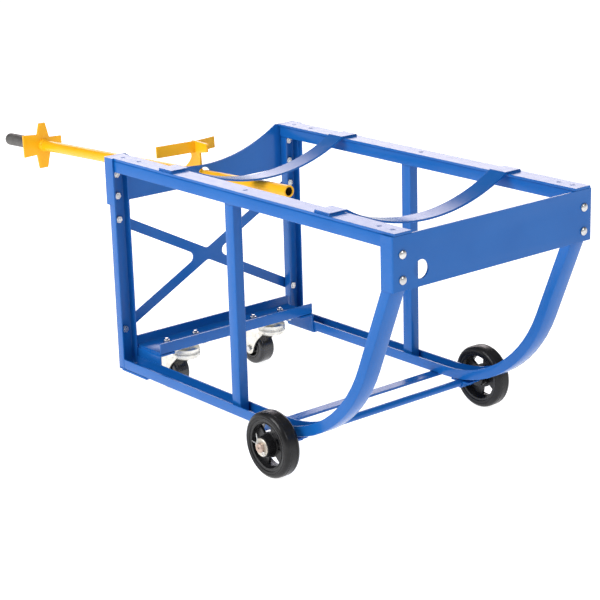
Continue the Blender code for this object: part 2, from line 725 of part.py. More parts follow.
def build_wheel(side):
    tag = side_name(side)
    middle_y = WHEEL_FACE_Y - WHEEL_WIDTH / 2
    hub = (REAR_X + AXLE_X, side * middle_y, WHEEL_RADIUS)
    half = WHEEL_WIDTH / 2
    rim = WHEEL_RADIUS
    inner = 61.0
    tread = [
        (inner, -half + 2), (inner + 3, -half), (rim * 0.92, -half), (rim * 0.975, -half * 0.78),
        (rim, -half * 0.45), (rim, half * 0.45), (rim * 0.975, half * 0.78),
        (rim * 0.92, half), (inner + 3, half), (inner, half - 2),
    ]
    tyre = lathe(tread, "Y", 48)
    make(f"wheel_tyre_{tag}", tyre, rubber(f"wheel_tyre_{tag}"), hub, True)
    seat = inner - GAP
    hub_end = HUB_FACE_Y - middle_y
    core = lathe([
        (12, -half - 1), (HUB_RADIUS - 2, -half - 1), (HUB_RADIUS, 2), (seat - 9, 1),
        (seat - 5, 3 - half), (seat, 2.5 - half), (seat, half - 2.5), (seat - 5, half - 3),
        (seat - 9, 8), (HUB_RADIUS + 3, 9), (HUB_RADIUS, hub_end), (12, hub_end),
    ], "Y", 48)
    if side < 0:
        core = turned(core, 180, "X")
    core = cut(core, [window(WINDOW_TURNS[side] + turn) for turn in (0, 90, 180, 270)])
    make(f"wheel_core_{tag}", core, rubber(f"wheel_core_{tag}"), hub, True)
    sleeve_low = -half - 1
    sleeve_high = hub_end
    bush = lathe([
        (AXLE_RADIUS + 0.3, sleeve_low), (11.7, sleeve_low),
        (11.7, sleeve_high), (AXLE_RADIUS + 0.3, sleeve_high),
    ], "Y", 24)
    if side < 0:
        bush = turned(bush, 180, "X")
    make(f"wheel_bush_{tag}", bush, zinc(f"wheel_bush_{tag}"), hub, True)
    face = HUB_FACE_Y + GAP
    washer = lathe([
        (AXLE_RADIUS + 0.3, face), (WASHER_RADIUS, face), (WASHER_RADIUS, face + 3),
        (AXLE_RADIUS + 0.3, face + 3),
    ], "Y", 24)
    if side < 0:
        washer = turned(washer, 180, "X")
    at = (REAR_X + AXLE_X, 0, WHEEL_RADIUS)
    make(f"axle_washer_{tag}", washer, zinc(f"axle_washer_{tag}"), at, True)
    build_cotter(side, at)


def build_cotter(side, at):
    """Split pin through the axle end: an eye on one side and two bent legs on the other."""
    tag = side_name(side)
    stem = turned(rod(2.2, -13.5, 12.5, "Z", segments=10), -COTTER_LEAN, "Y")
    root = Matrix.Rotation(math.radians(-COTTER_LEAN), 3, "Y") @ Vector((0, 0, 11.5))
    legs = []
    for lean, length in ((-12, 24), (-82, 20)):
        leg = turned(rod(1.7, -1, length, "Z", segments=8), lean, "Y")
        legs.append(moved(leg, root))
    eye = lathe([(1.0, -2), (5.0, -2), (5.0, 2), (1.0, 2)], "Y", 14)
    eye_at = Matrix.Rotation(math.radians(-COTTER_LEAN), 3, "Y") @ Vector((0, 0, -16.5))
    legs.append(moved(eye, eye_at))
    pin = moved(join(stem, legs), (0, side * COTTER_Y, 0))
    make(f"cotter_pin_{tag}", pin, zinc(f"cotter_pin_{tag}"), at, True)


def lever_piece(name, bm, material, smooth=True):
    """Lever pieces are drawn along X about the hole centre, then tilted as a set."""
    bm = turned(bm, -LEVER_TILT, "Y")
    make(name, bm, material, (REAR_X, 0, LEVER_AXIS_Z), smooth)


def build_lever():
    inner = LEVER_RADIUS - LEVER_WALL
    tube = lathe([
        (LEVER_RADIUS, -LEVER_OUTER), (LEVER_RADIUS, LEVER_INNER),
        (inner, LEVER_INNER), (inner, -LEVER_OUTER),
    ], "X", 36)
    lever_piece("lever_tube", tube, yellow("lever_tube"))
    bore = LEVER_RADIUS + GAP
    grip = lathe([
        (bore, -GRIP_START), (GRIP_RADIUS, -GRIP_START), (GRIP_RADIUS, 9 - GRIP_END),
        (GRIP_RADIUS - 3, 3 - GRIP_END), (GRIP_RADIUS - 8, -GRIP_END), (0, -GRIP_END),
        (0, 0 - LEVER_OUTER - GAP), (bore, 0 - LEVER_OUTER - GAP),
    ], "X", 36)
    lever_piece("lever_grip", grip, rubber("lever_grip"))
    cross = [
        (-67, -27), (-24, -25), (-19, -66), (8, -66), (20, -22), (26, -1), (61, -2), (61, 20),
        (20, 22), (10, 66), (-10, 66), (-19, 34), (-67, 38),
    ]
    plate = prism(cross, -STAR_AT - 3, -STAR_AT + 3, "X")
    collar = rod(18.5, -STAR_AT, -STAR_AT + 10, "X", segments=36)
    clear = rod(bore, -STAR_AT - 30, -STAR_AT + 30, "X", segments=36)
    star = cut(join(plate, [collar]), [clear])
    lever_piece("lever_star", star, yellow("lever_star"))
    base = LEVER_RADIUS + GAP
    gusset = [
        (-74, base), (-6, base), (-6, 59), (25, 63), (27, 85), (-24, 89), (-39, 89),
        (-39, 63), *arc((-59, 48), 15, 62, -20, 6), (-53, 33),
    ]
    gusset = prism(gusset, -3, 3, "Y")
    front_line = [(-36, -116), (-27, -30), (-24, 0), (-27, 30), (-36, 70)]
    back_line = [(x - 4.5, y) for x, y in reversed(front_line)]
    band = prism(front_line + back_line, 59, 89, "Z")
    lever_piece("lever_hook", join(gusset, [band]), yellow("lever_hook"), False)


def build_bolts():
    head_x = FRAME_LENGTH + GAP
    nut_x = FRAME_LENGTH - PLATE_THICKNESS - GAP - CHANNEL_WALL - NUT_STAND_OFF
    post_nut_x = PLATE_THICKNESS + GAP + CHANNEL_WALL + GAP
    brace_head_x = PLATE_THICKNESS - BRACE_THICKNESS - GAP
    for side in (-1, 1):
        tag = side_name(side)
        for level, z in zip(("upper", "lower"), PLATE_BOLT_ZS):
            y = side * PLATE_BOLT_Y
            bolt(f"front_bolt_{tag}_{level}", head_x, nut_x, y, z, 1)
            bolt(f"rear_bolt_{tag}_{level}", -GAP, post_nut_x, y, z, -1)
        for level, z in zip(("upper", "lower"), (BRACE_UPPER_Z, BRACE_LOWER_Z)):
            y = side * BRACE_BOLT_Y
            bolt(f"brace_bolt_{tag}_{level}", brace_head_x, post_nut_x, y, z, -1)


build_end_plates()
build_brace()
build_saddles()
build_caster_beam()
build_axle()
for hand in (-1, 1):
    build_rails(hand)
    build_posts(hand)
    build_runner(hand)
    build_caster_bracket(hand)
    build_caster(hand)
    build_axle_bracket(hand)
    build_wheel(hand)
build_lever()
build_bolts()
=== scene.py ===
"""Finished looks of the drum dolly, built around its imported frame.

Lengths are metres: +X towards the fixed wheels, +Y to the far side, +Z up.
"""
import json
import math

import bmesh
import bpy
from mathutils import Matrix, Vector


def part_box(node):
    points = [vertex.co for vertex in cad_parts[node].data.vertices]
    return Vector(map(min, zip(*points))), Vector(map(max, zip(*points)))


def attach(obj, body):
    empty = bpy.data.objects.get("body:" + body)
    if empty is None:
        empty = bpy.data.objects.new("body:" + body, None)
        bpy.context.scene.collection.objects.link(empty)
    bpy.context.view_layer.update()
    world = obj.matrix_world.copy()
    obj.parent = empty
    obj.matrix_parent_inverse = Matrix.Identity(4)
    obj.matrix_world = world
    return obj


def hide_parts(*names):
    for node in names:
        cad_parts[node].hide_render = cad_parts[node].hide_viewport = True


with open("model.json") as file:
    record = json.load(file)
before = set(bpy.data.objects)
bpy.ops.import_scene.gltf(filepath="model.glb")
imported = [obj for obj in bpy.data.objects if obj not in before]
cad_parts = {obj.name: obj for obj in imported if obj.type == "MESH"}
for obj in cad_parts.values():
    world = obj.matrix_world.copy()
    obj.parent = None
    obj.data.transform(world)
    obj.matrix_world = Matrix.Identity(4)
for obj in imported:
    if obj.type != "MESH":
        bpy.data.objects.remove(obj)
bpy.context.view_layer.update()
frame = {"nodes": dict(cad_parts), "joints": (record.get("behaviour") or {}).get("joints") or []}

MM = 0.001
SIDES = (("near", -1), ("far", 1))
JOINTS = {joint["name"]: joint for joint in frame["joints"]}

# Camera
CAMERA_FROM_REAR = (3.7349, -2.7197, 1.6066)
CAMERA_AZIMUTH = 50.93
CAMERA_ELEVATION = 17.04
CAMERA_ROLL = -1.65
CAMERA_LENS = 108.65

# Fasteners
BOLT_HEAD = 10.0 * MM
BOLT_HEAD_HEIGHT = 6.0 * MM
BOLT_SHANK = 5.0 * MM
NUT_CORNER = 9.6 * MM
NUT_HEIGHT = 6.0 * MM

# Wheels
AXLE_RADIUS = 9.0 * MM
COTTER_LEAN = -45.0
COTTER_WIRE = 1.35 * MM
AXLE_CAP_RADIUS = 11.5 * MM
CASTER_FORK_REACH = 30.8 * MM
CASTER_HALF_WIDTH = 23.0 * MM
RACE_RADIUS = 36.0 * MM
MOUNT_BOLT_X = 19.0 * MM
MOUNT_BOLT_Y = 46.0 * MM
MOUNT_STUD_HEIGHT = 12.0 * MM
HUB_RING_RADIUS = 22.4 * MM
HUB_GROOVE_RADIUS = 28.5 * MM
HUB_GROOVE_DEPTH = 9.3 * MM

# Lever
TUBE_RADIUS = 15.5 * MM
TUBE_BORE_RADIUS = 11.0 * MM
TUBE_BORE_DEPTH = 160.0 * MM
GRIP_RADIUS = 18.0 * MM
GRIP_CAP_RADIUS = 9.0 * MM
GRIP_GROOVES = 9
GRIP_GROOVE_DEPTH = 0.7 * MM
HOOK_WELD_SPAN = (8.0 * MM, 66.0 * MM)
HOOK_WELD_Y = 4.2 * MM

# Welds
BEAD_RADIUS = 2.0 * MM
BEAD_STEP = 2.5 * MM
BEAD_SIDES = 8
BEAD_RIPPLE = 0.14
POST_BEAD = 1.6 * MM
HOOK_BEAD = 1.9 * MM
PLUG_WELD_SHARES = (0.035, 0.1, 0.5, 0.93, 0.97)
BRACKET_WELD_INNER = 257.0 * MM
BRACKET_WELD_OUTER = 296.0 * MM
BRACKET_BEAD = 1.8 * MM

# Studio
FLOOR_HALF_SIZE = 30.0
LIGHT_TARGET = (0.5, 0.0, 0.35)


# Materials ---------------------------------------------------------------------------------

def noise(tree, vector, scale, detail):
    node = tree.nodes.new("ShaderNodeTexNoise")
    node.inputs["Scale"].default_value = scale
    node.inputs["Detail"].default_value = detail
    tree.links.new(vector, node.inputs["Vector"])
    return node.outputs["Fac"]


def surface(name, dark, light, rough, metallic=0.0, specular=0.5, coat=0.0, patch=9.0, grain=350.0,
            relief=0.15):
    """Principled material whose colour, roughness and relief vary with noise in object space."""
    material = bpy.data.materials.new(name)
    material.use_nodes = True
    tree = material.node_tree
    shader = tree.nodes["Principled BSDF"]
    shader.inputs["Metallic"].default_value = metallic
    shader.inputs["Specular IOR Level"].default_value = specular
    shader.inputs["Coat Weight"].default_value = coat
    shader.inputs["Coat Roughness"].default_value = 0.08
    place = tree.nodes.new("ShaderNodeTexCoord")
    vector = place.outputs["Object"]
    patches = noise(tree, vector, patch, 4.0)
    ramp = tree.nodes.new("ShaderNodeValToRGB")
    ramp.color_ramp.elements[0].position = 0.3
    ramp.color_ramp.elements[0].color = (*dark, 1.0)
    ramp.color_ramp.elements[1].position = 0.7
    ramp.color_ramp.elements[1].color = (*light, 1.0)
    tree.links.new(patches, ramp.inputs["Fac"])
    tree.links.new(ramp.outputs["Color"], shader.inputs["Base Color"])
    spread = tree.nodes.new("ShaderNodeMapRange")
    spread.inputs["From Min"].default_value = 0.3
    spread.inputs["From Max"].default_value = 0.7
    spread.inputs["To Min"].default_value = rough[0]
    spread.inputs["To Max"].default_value = rough[1]
    tree.links.new(noise(tree, vector, patch * 5, 6.0), spread.inputs["Value"])
    tree.links.new(spread.outputs["Result"], shader.inputs["Roughness"])
    bump = tree.nodes.new("ShaderNodeBump")
    bump.inputs["Strength"].default_value = relief
    bump.inputs["Distance"].default_value = 0.2 * MM
    tree.links.new(noise(tree, vector, grain, 2.0), bump.inputs["Height"])
    tree.links.new(bump.outputs["Normal"], shader.inputs["Normal"])
    return material


BLUE = surface(
    "blue_powder_coat", (0.006, 0.112, 0.415), (0.009, 0.125, 0.445), (0.18, 0.24), specular=0.3,
    relief=0.04)
BLUE_WELD = surface(
    "blue_over_weld", (0.009, 0.10, 0.38), (0.013, 0.125, 0.45), (0.24, 0.36), specular=0.3,
    grain=900.0, relief=0.4)
YELLOW = surface(
    "yellow_powder_coat", (0.94, 0.45, 0.007), (0.98, 0.50, 0.013), (0.2, 0.28), specular=0.3,
    relief=0.04)
ZINC = surface(
    "zinc_plate", (0.62, 0.60, 0.54), (0.86, 0.84, 0.77), (0.24, 0.4), metallic=1.0, patch=60.0,
    grain=1400.0, relief=0.12)
BOLT_ZINC = surface(
    "zinc_bolt", (0.48, 0.48, 0.49), (0.74, 0.74, 0.73), (0.2, 0.34), metallic=1.0, patch=90.0,
    grain=1800.0, relief=0.1)
CREAM_WASHER = surface(
    "cream_zinc_washer", (0.60, 0.56, 0.48), (0.80, 0.76, 0.68), (0.3, 0.45), metallic=0.6, patch=80.0,
    grain=1600.0, relief=0.2)
AXLE_STEEL = surface(
    "oiled_axle_steel", (0.38, 0.28, 0.23), (0.62, 0.48, 0.40), (0.35, 0.5), metallic=0.7, patch=120.0,
    grain=1600.0, relief=0.25)
TYRE = surface(
    "mould_on_rubber", (0.009, 0.009, 0.010), (0.020, 0.020, 0.021), (0.2, 0.27), specular=0.25,
    patch=30.0, grain=700.0, relief=0.05)
WHEEL_CORE = surface(
    "black_wheel_core", (0.007, 0.007, 0.008), (0.016, 0.016, 0.018), (0.22, 0.32), specular=0.35,
    patch=25.0, grain=500.0, relief=0.06)
CASTER_BLACK = surface(
    "hard_caster_rubber", (0.006, 0.006, 0.007), (0.014, 0.014, 0.015), (0.2, 0.32), coat=0.4,
    patch=40.0, grain=800.0, relief=0.15)
GRIP = surface(
    "vinyl_grip", (0.080, 0.077, 0.074), (0.112, 0.108, 0.104), (0.38, 0.5), patch=35.0, grain=1100.0,
    relief=0.4)
# Near-black material: grease on the caster race balls, and painted shade in the lever tube's bore, in
# the gap between the caster races and as a dark spot at the centre of each axle end.
GREASE_AND_PAINTED_SHADE = surface(
    "grease_and_painted_shade", (0.020, 0.018, 0.014), (0.060, 0.054, 0.045), (0.25, 0.4), patch=90.0, grain=900.0,
    relief=0.2)


# Mesh tools --------------------------------------------------------------------------------

def middle(node):
    low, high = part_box(node)
    return (low + high) / 2


def stitch(bm, first, second):
    """Joins two rings of vertices, of which either may be a single point."""
    count = max(len(first), len(second))
    for i in range(count):
        j = (i + 1) % count
        corners = (
            first[i % len(first)], first[j % len(first)],
            second[j % len(second)], second[i % len(second)],
        )
        corners = list(dict.fromkeys(corners))
        if len(corners) > 2:
            bm.faces.new(corners)


def revolve(bm, profile, centre, axis, segments=64, closed=False):
    """Adds a profile of (radius, distance along the axis) points, turned about the axis."""
    along = Vector(axis).normalized()
    side = along.orthogonal().normalized()
    up = along.cross(side)
    rings = []
    for radius, distance in profile:
        base = Vector(centre) + along * distance
        if radius < 1e-6:
            rings.append([bm.verts.new(base)])
            continue
        ring = []
        for i in range(segments):
            turn = 2 * math.pi * i / segments
            ring.append(bm.verts.new(base + (side * math.cos(turn) + up * math.sin(turn)) * radius))
        rings.append(ring)
    pairs = zip(rings, rings[1:] + rings[:1]) if closed else zip(rings, rings[1:])
    for first, second in pairs:
        stitch(bm, first, second)


def sweep(bm, points, radius, sides=8, ripple=0.0):
    """Adds a capped tube along the points. A ripple makes it thick and thin, like a weld."""
    points = [Vector(point) for point in points]
    last = len(points) - 1
    normal = (points[1] - points[0]).orthogonal().normalized()
    rings = []
    for i, point in enumerate(points):
        ahead = (points[min(i + 1, last)] - points[max(i - 1, 0)]).normalized()
        normal = (normal - ahead * normal.dot(ahead)).normalized()
        across = ahead.cross(normal)
        size = radius * (1 + ripple * math.sin(2.1 * i))
        if i in (0, last):
            size *= 0.7
        ring = []
        for k in range(sides):
            turn = 2 * math.pi * k / sides
            spoke = normal * math.cos(turn) + across * math.sin(turn)
            ring.append(bm.verts.new(point + spoke * size))
        rings.append(ring)
    for first, second in zip(rings, rings[1:]):
        stitch(bm, first, second)
    bm.faces.new(rings[0])
    bm.faces.new(rings[-1])


def bead(bm, start, end, radius=BEAD_RADIUS):
    """Adds a straight weld bead."""
    start = Vector(start)
    end = Vector(end)
    count = max(3, round((end - start).length / BEAD_STEP))
    points = [start.lerp(end, i / count) for i in range(count + 1)]
    sweep(bm, points, radius, BEAD_SIDES, BEAD_RIPPLE)


def arc(centre, radius, start, end, steps):
    """Points on an arc, as (first, second) pairs, angles in degrees."""
    points = []
    for i in range(steps + 1):
        turn = math.radians(start + (end - start) * i / steps)
        points.append((centre[0] + radius * math.cos(turn), centre[1] + radius * math.sin(turn)))
    return points


def hexagon(bm, base, axis, corner, height):
    """Adds a chamfered hexagon nut standing on base."""
    chamfer = 0.12 * height
    profile = [
        (0, 0), (corner * 0.92, 0), (corner, chamfer), (corner, height - chamfer),
        (corner * 0.92, height), (0, height),
    ]
    revolve(bm, profile, base, axis, 6)


def piece(name, bm, material, body, replaces=(), sharp=33.0):
    """Turns the mesh into an object that rides on a body."""
    bmesh.ops.recalc_face_normals(bm, faces=bm.faces)
    for face in bm.faces:
        face.smooth = True
    for edge in bm.edges:
        if len(edge.link_faces) == 2:
            edge.smooth = edge.calc_face_angle(0.0) < math.radians(sharp)
    mesh = bpy.data.meshes.new(name)
    bm.to_mesh(mesh)
    bm.free()
    mesh.materials.append(material)
    obj = bpy.data.objects.new(name, mesh)
    bpy.context.scene.collection.objects.link(obj)
    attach(obj, body)
    if replaces:
        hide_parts(*replaces)
    return obj


def dress(node, material, radius):
    """Gives a CAD node its material and softens its edges."""
    obj = frame["nodes"][node]
    for entry in obj.material_slots:
        entry.material = material
    normals = obj.data.attributes.get("custom_normal")
    if normals:
        obj.data.attributes.remove(normals)
    for face in obj.data.polygons:
        face.use_smooth = True
    weld = obj.modifiers.new("weld", "WELD")
    weld.merge_threshold = 0.01 * MM
    flat = obj.modifiers.new("flat", "DECIMATE")
    flat.decimate_type = "DISSOLVE"
    flat.angle_limit = math.radians(0.8)
    bevel = obj.modifiers.new("bevel", "BEVEL")
    bevel.width = radius
    bevel.segments = 2
    bevel.limit_method = "ANGLE"
    bevel.angle_limit = math.radians(30)
    bevel.harden_normals = True


# CAD nodes that stay -----------------------------------------------------------------------

def dress_frame():
    for node in frame["nodes"]:
        if node.startswith(("lever_tube", "lever_star", "lever_hook")):
            dress(node, YELLOW, 0.8 * MM)
        elif node.startswith(("caster_mount", "caster_fork")):
            dress(node, ZINC, 0.6 * MM)
        elif node.startswith("wheel_core"):
            dress(node, WHEEL_CORE, 0.7 * MM)
        elif node.startswith(("wheel_bush", "axle_washer")):
            dress(node, CREAM_WASHER, 0.3 * MM)
        elif node.startswith(("top_rail", "base_runner", "rear_post")):
            dress(node, BLUE, 2.0 * MM)
        else:
            dress(node, BLUE, 0.9 * MM)


# Frame details -----------------------------------------------------------------------------

def build_saddle_welds():
    for end in ("rear", "front"):
        low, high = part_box(f"drum_saddle_{end}")
        bm = bmesh.new()
        for side, sign in SIDES:
            bar_low, bar_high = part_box(f"top_bar_{side}")
            inner_y = bar_high.y if sign < 0 else bar_low.y
            outer_y = sign * high.y
            top = bar_high.z
            for x in (low.x, high.x):
                bead(bm, (x, inner_y + sign * 3 * MM, top), (x, outer_y, top))
            bead(bm, (low.x, outer_y, top), (high.x, outer_y, top))
        piece(f"saddle_welds_{end}", bm, BLUE_WELD, "frame")


def build_post_welds(side, sign):
    """Beads round the feet and heads of the posts, on their outer and end faces."""
    rail_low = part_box(f"top_rail_{side}")[0]
    bm = bmesh.new()
    for post in ("middle_post", "rear_post"):
        low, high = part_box(f"{post}_{side}")
        outer_y = high.y if sign > 0 else low.y
        inner_y = low.y if sign > 0 else high.y
        for z in (low.z, min(high.z, rail_low.z)):
            bead(bm, (low.x + 3 * MM, outer_y, z), (high.x, outer_y, z), POST_BEAD)
            bead(bm, (high.x, outer_y, z), (high.x, inner_y, z), POST_BEAD)
    piece(f"post_welds_{side}", bm, BLUE_WELD, "frame")


def build_bracket_welds(side, sign):
    """Beads that hold the caster brackets, the cross bar and the ends of the caster beam."""
    bm = bmesh.new()
    low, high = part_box(f"caster_bracket_{side}")
    runner_low, runner_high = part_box(f"base_runner_{side}")
    for x in (low.x, high.x):
        start = (x, sign * BRACKET_WELD_INNER, runner_low.z)
        end = (x, sign * BRACKET_WELD_OUTER, runner_low.z)
        bead(bm, start, end, BRACKET_BEAD)
    bar_low, bar_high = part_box("cross_bar")
    inner_y = runner_high.y if sign < 0 else runner_low.y
    for x in (bar_low.x, bar_high.x):
        bead(bm, (x, inner_y, bar_high.z), (x, sign * bar_high.y, bar_high.z), BRACKET_BEAD)
    beam_low, beam_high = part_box("caster_beam")
    beam_y = sign * beam_high.y
    start = (beam_low.x + 4 * MM, beam_y, high.z)
    end = (beam_high.x - 4 * MM, beam_y, high.z)
    bead(bm, start, end, BRACKET_BEAD)
    piece(f"bracket_welds_{side}", bm, BLUE_WELD, "frame")


def build_plug_welds():
    """Low round spots where each top bar is plug-welded to its rail."""
    bm = bmesh.new()
    for side, _ in SIDES:
        low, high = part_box(f"top_bar_{side}")
        middle_y = (low.y + high.y) / 2
        for share in PLUG_WELD_SHARES:
            at = (low.x + (high.x - low.x) * share, middle_y, high.z)
            spot = [(0, 0.7 * MM), (3.5 * MM, 0.6 * MM), (6 * MM, 0.25 * MM), (7 * MM, -0.2 * MM)]
            revolve(bm, spot, at, (0, 0, 1), 24)
    piece("plug_welds", bm, BLUE_WELD, "frame")


def build_bolt(node, outward):
    """Domed bolt along X with its hexagon nut, in the place of a CAD bolt."""
    low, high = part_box(node)
    centre = (low + high) / 2
    tip_x = high.x if outward > 0 else low.x
    length = high.x - low.x - BOLT_HEAD_HEIGHT
    base = Vector((tip_x - outward * BOLT_HEAD_HEIGHT, centre.y, centre.z))
    axis = (outward, 0, 0)
    rim = 1.3 * MM
    dome = arc((0, 0), 1.0, 0, 90, 8)
    crown = [(BOLT_HEAD * x, rim + (BOLT_HEAD_HEIGHT - rim) * z) for x, z in dome[:-1]]
    bm = bmesh.new()
    head = [(0, 0), (BOLT_HEAD * 0.97, 0), *crown, (0, BOLT_HEAD_HEIGHT)]
    revolve(bm, head, base, axis, 40)
    thread = [(BOLT_SHANK, 0)]
    pitch = 1.25 * MM
    for turn in range(int(length / pitch)):
        start = -turn * pitch
        thread += [(BOLT_SHANK * 0.93, start - pitch * 0.5), (BOLT_SHANK, start - pitch)]
    thread += [(BOLT_SHANK * 0.8, -length), (0, -length)]
    revolve(bm, thread, base, axis, 24)
    nut_base = base - Vector(axis) * (length - 1.0 * MM)
    hexagon(bm, nut_base, axis, NUT_CORNER, NUT_HEIGHT)
    piece(f"{node}_set", bm, BOLT_ZINC, "frame", (node,), 28)


# Fixed wheels ------------------------------------------------------------------------------

def tyre_profile(outer, inner, half, shoulder, ring):
    """Half of a moulded tyre's section and its mirror: bead ring, side ring, shoulder, crown."""
    side = [
        (inner, half - 2.0 * MM), (inner + 1.2 * MM, half - 0.4 * MM), (inner + 2.6 * MM, half),
        (ring - 1.6 * MM, half), (ring - 1.0 * MM, half - 0.9 * MM), (ring + 0.4 * MM, half - 0.9 * MM),
        (ring + 1.0 * MM, half - 0.1 * MM), (ring + 2.6 * MM, half - 0.1 * MM),
    ]
    side += arc((outer - shoulder, half - shoulder), shoulder, 80, 0, 9)
    step = half - shoulder
    crown = [
        (outer - 0.5 * MM, step - 0.8 * MM), (outer - 0.5 * MM, step - 2.2 * MM),
        (outer + 0.1 * MM, step - 3.0 * MM), (outer + 0.2 * MM, 0.0),
    ]
    upper = side + crown
    lower = [(radius, -along) for radius, along in reversed(upper[:-1])]
    return upper + lower


def build_wheel(side, sign):
    body = f"wheel_{side}"
    low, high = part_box(f"wheel_tyre_{side}")
    centre = (low + high) / 2
    outer = (high.z - low.z) / 2 - 0.2 * MM
    half = (high.y - low.y) / 2
    core_low, core_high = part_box(f"wheel_core_{side}")
    inner = (core_high.z - core_low.z) / 2 + 0.1 * MM
    axis = (0, sign, 0)
    bm = bmesh.new()
    profile = tyre_profile(outer, inner, half, 11 * MM, inner + 6.5 * MM)
    revolve(bm, profile, centre, axis, 128, True)
    piece(f"tyre_{side}", bm, TYRE, body, (f"wheel_tyre_{side}",))
    hub_face = (core_high.y if sign > 0 else -core_low.y) - abs(centre.y)
    bm = bmesh.new()
    ring = [(HUB_RING_RADIUS - 1.1 * MM, hub_face - 0.4 * MM)]
    ring += arc((HUB_RING_RADIUS, hub_face), 0.9 * MM, 180, 0, 8)
    ring += [(HUB_RING_RADIUS + 0.9 * MM, hub_face - 0.4 * MM)]
    revolve(bm, ring, centre, axis, 72)
    groove = arc((HUB_GROOVE_RADIUS, HUB_GROOVE_DEPTH), 1.2 * MM, 180, 0, 8)
    revolve(bm, groove, centre, axis, 72)
    bead_ring = arc((inner - 6.5 * MM, half - 3.0 * MM), 1.5 * MM, 180, 0, 8)
    revolve(bm, bead_ring, centre, axis, 96)
    piece(f"core_rings_{side}", bm, WHEEL_CORE, body)


def build_axle_end(side, sign):
    """Chamfered washer with a rolled edge, the axle's turned end and its split pin."""
    low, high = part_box(f"axle_washer_{side}")
    centre = (low + high) / 2
    outer = (high.z - low.z) / 2
    half = (high.y - low.y) / 2
    axis = Vector((0, sign, 0))
    bore = AXLE_RADIUS + 0.25 * MM
    bm = bmesh.new()
    profile = [
        (bore, -half), (outer - 0.6 * MM, -half), (outer, -half + 0.6 * MM), (outer, half - 0.8 * MM),
        (outer - 0.8 * MM, half), (outer - 3 * MM, half - 0.1 * MM), (outer - 4 * MM, half - 0.5 * MM),
        (bore + 2 * MM, half - 0.5 * MM), (bore + 0.6 * MM, half - 0.4 * MM), (bore, half - 0.9 * MM),
    ]
    revolve(bm, profile, centre, axis, 64, True)
    piece(f"washer_{side}", bm, CREAM_WASHER, "frame", (f"axle_washer_{side}",))
    axle_low, axle_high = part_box("axle")
    end_y = axle_high.y if sign > 0 else axle_low.y
    tip = Vector((centre.x, end_y, centre.z))
    cap_start = abs(centre.y) + half + 0.2 * MM - abs(end_y)
    bm = bmesh.new()
    cap = [
        (AXLE_RADIUS, cap_start), (AXLE_CAP_RADIUS, cap_start), (AXLE_CAP_RADIUS, -1.6 * MM),
        (AXLE_CAP_RADIUS - 0.5 * MM, -0.5 * MM), (AXLE_CAP_RADIUS - 1.8 * MM, 0.7 * MM),
        (2.6 * MM, 0.7 * MM), (1.8 * MM, 0.3 * MM), (0, 0.2 * MM),
    ]
    revolve(bm, cap, tip, axis, 48)
    piece(f"axle_face_{side}", bm, AXLE_STEEL, "frame")
    # A dark spot at the centre of the axle end.
    bm = bmesh.new()
    revolve(bm, [(0, 0.45 * MM), (1.2 * MM, 0.5 * MM), (2.0 * MM, 0.3 * MM)], tip, axis, 24)
    piece(f"axle_centre_{side}", bm, GREASE_AND_PAINTED_SHADE, "frame")
    build_split_pin(side, Vector((centre.x, middle(f"cotter_pin_{side}").y, centre.z)))


def build_split_pin(side, centre):
    """One wire: out along a leg, through the axle, round the eye and back to the other leg."""
    lean = math.radians(COTTER_LEAN)
    stem = Vector((math.sin(lean), 0, math.cos(lean)))
    across = Vector((stem.z, 0, -stem.x))
    reach = 11.5 * MM
    path = []
    for lean_angle, length, hand in ((-12, 24 * MM, 1), (-82, 20 * MM, -1)):
        turn = math.radians(lean_angle)
        leg = Vector((math.sin(turn), 0, math.cos(turn)))
        root = centre + stem * reach + across * COTTER_WIRE * hand
        line = [root + leg * length * share for share in (1.0, 0.75, 0.5, 0.25, 0.1)]
        line += [root, root - stem * 3 * MM, root - stem * 12 * MM, root - stem * 23.5 * MM]
        path.append(line)
    eye_centre = centre - stem * 16.5 * MM
    eye = []
    for i in range(13):
        turn = math.radians(25 + 310 * i / 12)
        eye.append(eye_centre + (stem * math.cos(turn) + across * math.sin(turn)) * 3.9 * MM)
    bm = bmesh.new()
    sweep(bm, path[0] + eye + path[1][::-1], COTTER_WIRE, 10)
    piece(f"split_pin_{side}", bm, BOLT_ZINC, "frame", (f"cotter_pin_{side}",), 50)


# Casters -----------------------------------------------------------------------------------

